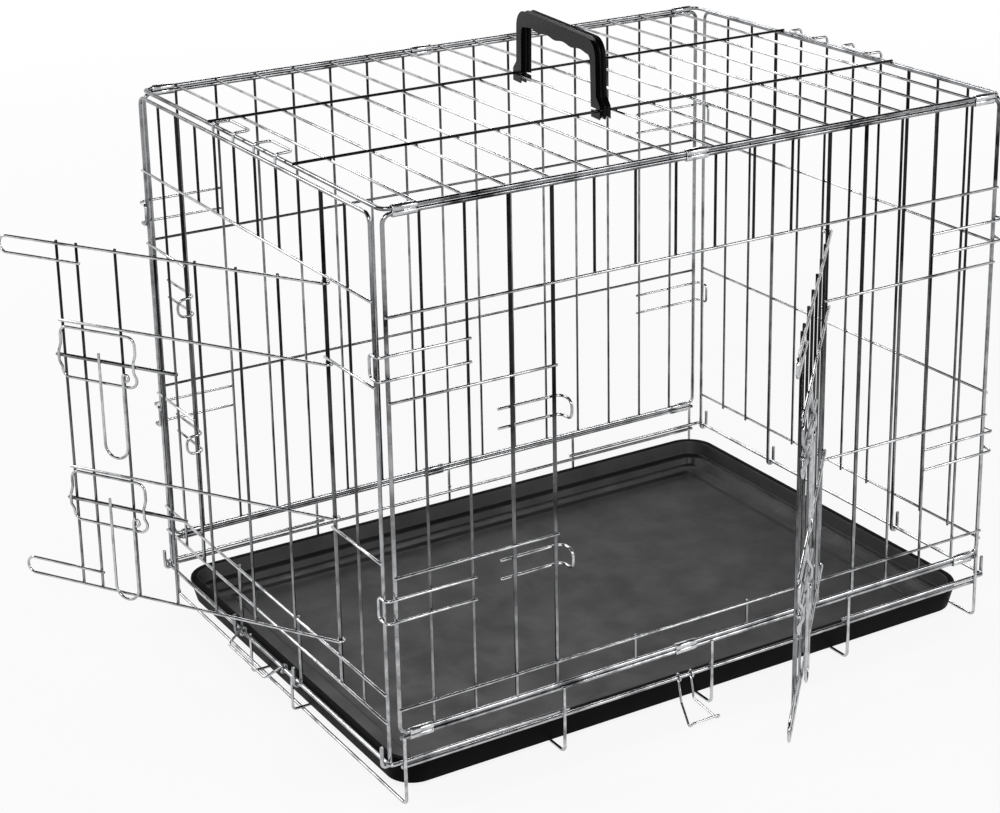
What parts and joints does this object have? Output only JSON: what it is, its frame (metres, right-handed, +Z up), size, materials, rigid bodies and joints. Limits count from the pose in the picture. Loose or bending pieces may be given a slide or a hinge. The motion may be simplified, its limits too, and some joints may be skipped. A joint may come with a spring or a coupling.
{
  "type": "folding wire dog crate",
  "caption": "Folding dog crate of welded wire panels with a front and an end door on slide bolts, a lift-out plastic tray and a moulded carry handle.",
  "frame": {"origin": "centre of the box on the floor, midway between the front and back panels and between the two ends", "axes": "+X to the right seen from the front, +Y from the front panel to the back panel, +Z up. The second door is on the -X end"},
  "size_m": [0.975, 0.833, 0.686],
  "materials": {
    "bright zinc wire": "bright zinc plated",
    "zinc sheet": "zinc plated sheet",
    "black plastic": "fine satin grain"
  },
  "bodies": {
    "base": {"base_frame": "bright zinc wire", "front_base_clip_1": "zinc sheet", "front_base_clip_2": "zinc sheet", "front_base_clip_3": "zinc sheet", "back_base_clip_1": "zinc sheet", "back_base_clip_2": "zinc sheet", "back_base_clip_3": "zinc sheet"},
    "tray": {"tray": "black plastic"},
    "pan_stop": {"pan_stop": "bright zinc wire"},
    "clasp": {"fold_clasp": "bright zinc wire"},
    "front": {"front_panel": "bright zinc wire", "front_keeper_lower": "bright zinc wire", "front_keeper_upper": "bright zinc wire", "front_left_hook_lower": "bright zinc wire", "front_left_hook_upper": "bright zinc wire", "front_right_hook_lower": "bright zinc wire", "front_right_hook_upper": "bright zinc wire"},
    "back": {"back_panel": "bright zinc wire", "back_left_hook_lower": "bright zinc wire", "back_left_hook_upper": "bright zinc wire", "back_right_hook_lower": "bright zinc wire", "back_right_hook_upper": "bright zinc wire"},
    "roof": {"roof_panel": "bright zinc wire", "carry_handle": "black plastic", "front_roof_clip_1": "zinc sheet", "front_roof_clip_2": "zinc sheet", "front_roof_clip_3": "zinc sheet", "back_roof_clip_1": "zinc sheet", "back_roof_clip_2": "zinc sheet", "back_roof_clip_3": "zinc sheet"},
    "left_end": {"left_end_panel": "bright zinc wire", "left_roof_hook_1": "bright zinc wire", "left_roof_hook_2": "bright zinc wire", "left_keeper_lower": "bright zinc wire", "left_keeper_upper": "bright zinc wire"},
    "right_end": {"right_end_panel": "bright zinc wire", "right_roof_hook_1": "bright zinc wire", "right_roof_hook_2": "bright zinc wire"},
    "front_door": {"front_door": "bright zinc wire", "front_bracket_lower": "bright zinc wire", "front_bracket_upper": "bright zinc wire"},
    "left_door": {"left_door": "bright zinc wire", "left_bracket_lower": "bright zinc wire", "left_bracket_upper": "bright zinc wire"},
    "front_bolt_lower": {"front_bolt_lower": "bright zinc wire"},
    "front_handle_lower": {"front_handle_lower": "bright zinc wire"},
    "front_bolt_upper": {"front_bolt_upper": "bright zinc wire"},
    "front_handle_upper": {"front_handle_upper": "bright zinc wire"},
    "left_bolt_lower": {"left_bolt_lower": "bright zinc wire"},
    "left_handle_lower": {"left_handle_lower": "bright zinc wire"},
    "left_bolt_upper": {"left_bolt_upper": "bright zinc wire"},
    "left_handle_upper": {"left_handle_upper": "bright zinc wire"}
  },
  "joints": [
    {"name": "front_fold", "type": "hinge", "parent": "base", "child": "front", "pos_m": [0, -0.2735, 0.079], "axis": [-1, 0, 0], "range_deg": [0, 88], "deforming": ["front_left_hook_lower", "front_left_hook_upper", "front_right_hook_lower", "front_right_hook_upper"]},
    {"name": "back_fold", "type": "hinge", "parent": "base", "child": "back", "pos_m": [0, 0.2735, 0.079], "axis": [-1, 0, 0], "range_deg": [0, 88], "deforming": ["back_left_hook_lower", "back_left_hook_upper", "back_right_hook_lower", "back_right_hook_upper"]},
    {"name": "roof_level", "type": "hinge", "parent": "back", "child": "roof", "pos_m": [0, 0.2735, 0.605], "axis": [-1, 0, 0], "range_deg": [-88, 0]},
    {"name": "left_end_fold", "type": "hinge", "parent": "base", "child": "left_end", "pos_m": [-0.3829, 0, 0.048], "axis": [0, 1, 0], "range_deg": [0, 90], "deforming": ["left_roof_hook_1", "left_roof_hook_2"]},
    {"name": "right_end_fold", "type": "hinge", "parent": "base", "child": "right_end", "pos_m": [0.3829, 0, 0.048], "axis": [0, -1, 0], "range_deg": [0, 87.5], "deforming": ["right_roof_hook_1", "right_roof_hook_2"]},
    {"name": "front_door_swing", "type": "hinge", "parent": "front", "child": "front_door", "pos_m": [0.1425, -0.2735, 0.3], "axis": [0, 0, -1], "range_deg": [-118, 46.6]},
    {"name": "left_door_swing", "type": "hinge", "parent": "left_end", "child": "left_door", "pos_m": [-0.3785, -0.168, 0.32], "axis": [0, 0, -1], "range_deg": [-133, 31.8]},
    {"name": "tray_lift", "type": "slide", "parent": "base", "child": "tray", "axis": [0, 0, -1], "range_m": [-0.04, 0]},
    {"name": "pan_stop_swing", "type": "hinge", "parent": "base", "child": "pan_stop", "pos_m": [-0.3829, 0.012, 0.048], "axis": [0, 1, 0], "range_deg": [-50, 120]},
    {"name": "clasp_swing", "type": "hinge", "parent": "base", "child": "clasp", "pos_m": [-0.0325, -0.2735, 0.0425], "axis": [-1, 0, 0], "range_deg": [0, 125]},
    {"name": "front_bolt_slide_lower", "type": "slide", "parent": "front_door", "child": "front_bolt_lower", "axis": [-0.6871, -0.7266, 0], "range_m": [0, 0.027]},
    {"name": "front_handle_swing_lower", "type": "hinge", "parent": "front_bolt_lower", "child": "front_handle_lower", "pos_m": [-0.02407, -0.45731, 0.221], "axis": [0.6871, 0.7266, 0], "range_deg": [-110, 0]},
    {"name": "front_bolt_slide_upper", "type": "slide", "parent": "front_door", "child": "front_bolt_upper", "axis": [-0.6871, -0.7266, 0], "range_m": [0, 0.027]},
    {"name": "front_handle_swing_upper", "type": "hinge", "parent": "front_bolt_upper", "child": "front_handle_upper", "pos_m": [-0.02407, -0.45731, 0.38], "axis": [0.6871, 0.7266, 0], "range_deg": [-110, 0]},
    {"name": "left_bolt_slide_lower", "type": "slide", "parent": "left_door", "child": "left_bolt_lower", "axis": [-0.527, 0.8499, 0], "range_m": [0, 0.027]},
    {"name": "left_handle_swing_lower", "type": "hinge", "parent": "left_bolt_lower", "child": "left_handle_lower", "pos_m": [-0.51551, 0.04297, 0.2355], "axis": [0.527, -0.8499, 0], "range_deg": [-110, 0]},
    {"name": "left_bolt_slide_upper", "type": "slide", "parent": "left_door", "child": "left_bolt_upper", "axis": [-0.527, 0.8499, 0], "range_m": [0, 0.027]},
    {"name": "left_handle_swing_upper", "type": "hinge", "parent": "left_bolt_upper", "child": "left_handle_upper", "pos_m": [-0.51551, 0.04297, 0.3945], "axis": [0.527, -0.8499, 0], "range_deg": [-110, 0]}
  ],
  "couplings": [
    {"joint": "back_fold", "follows": "front_fold", "ratio": 1},
    {"joint": "roof_level", "follows": "front_fold", "ratio": -1}
  ]
}
